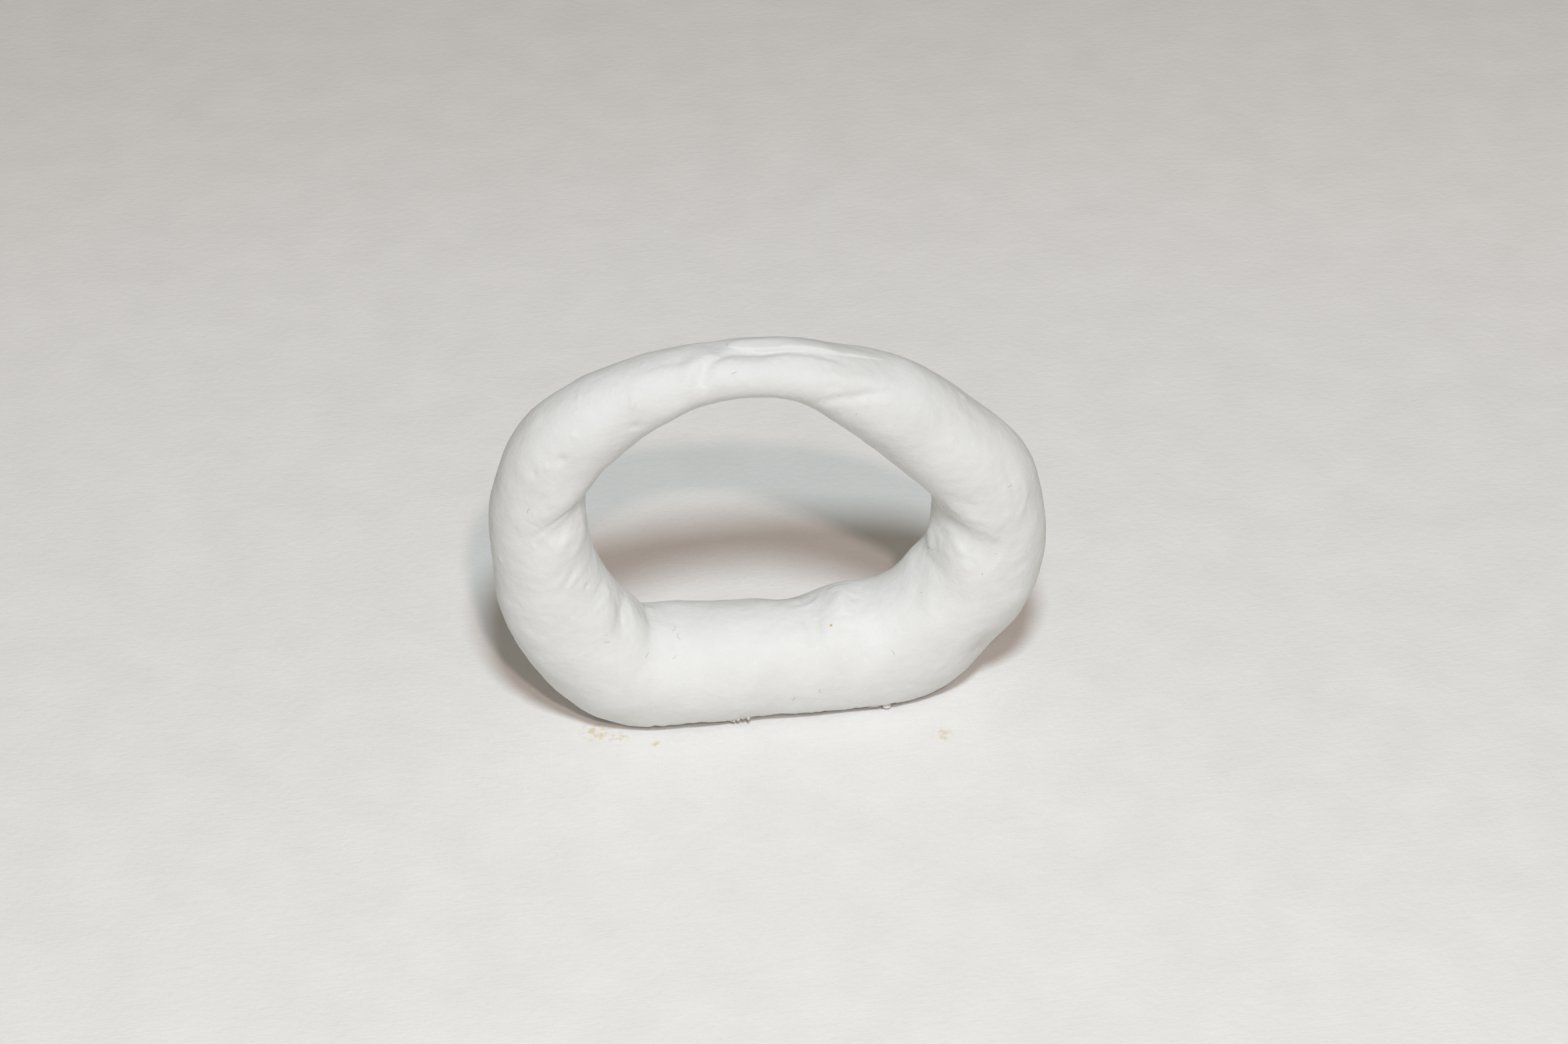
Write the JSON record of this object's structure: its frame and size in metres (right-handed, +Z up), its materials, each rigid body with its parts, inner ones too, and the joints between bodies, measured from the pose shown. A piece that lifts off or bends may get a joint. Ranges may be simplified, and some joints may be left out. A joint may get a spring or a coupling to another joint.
{
  "type": "hand-formed plaster ring",
  "caption": "Rough D-shaped ring of white plaster, pressed together by hand from lumps and a lapped strand, standing on its thick flat-based bottom bar.",
  "frame": {"origin": "centre of the bounding box's bottom face, on the surface that the ring stands on", "axes": "+Z up, the ring lies in the XZ plane, its pictured front faces -Y, +X towards its thicker right arm"},
  "size_m": [0.0702, 0.0158, 0.0538],
  "materials": {
    "plaster_bar": "matte",
    "plaster_heel": "matte",
    "plaster_right_arm": "matte",
    "plaster_shoulder": "matte",
    "plaster_bridge": "matte, slightly polished by the thumb",
    "plaster_left_arm": "matte",
    "plaster_bead": "matte",
    "plaster_flash": "matte, thin and slightly translucent"
  },
  "bodies": {
    "root": {"base_bar": "plaster_bar", "right_heel": "plaster_heel", "right_lower_arm": "plaster_right_arm", "right_shoulder": "plaster_shoulder", "top_bridge": "plaster_bridge", "left_upper_arm": "plaster_left_arm", "left_lower_arm": "plaster_left_arm", "top_lap_lip": "plaster_bridge", "corner_bead": "plaster_bead", "base_flash_lip": "plaster_flash", "flash_tooth": "plaster_flash", "flash_curl": "plaster_flash"}
  },
  "joints": []
}
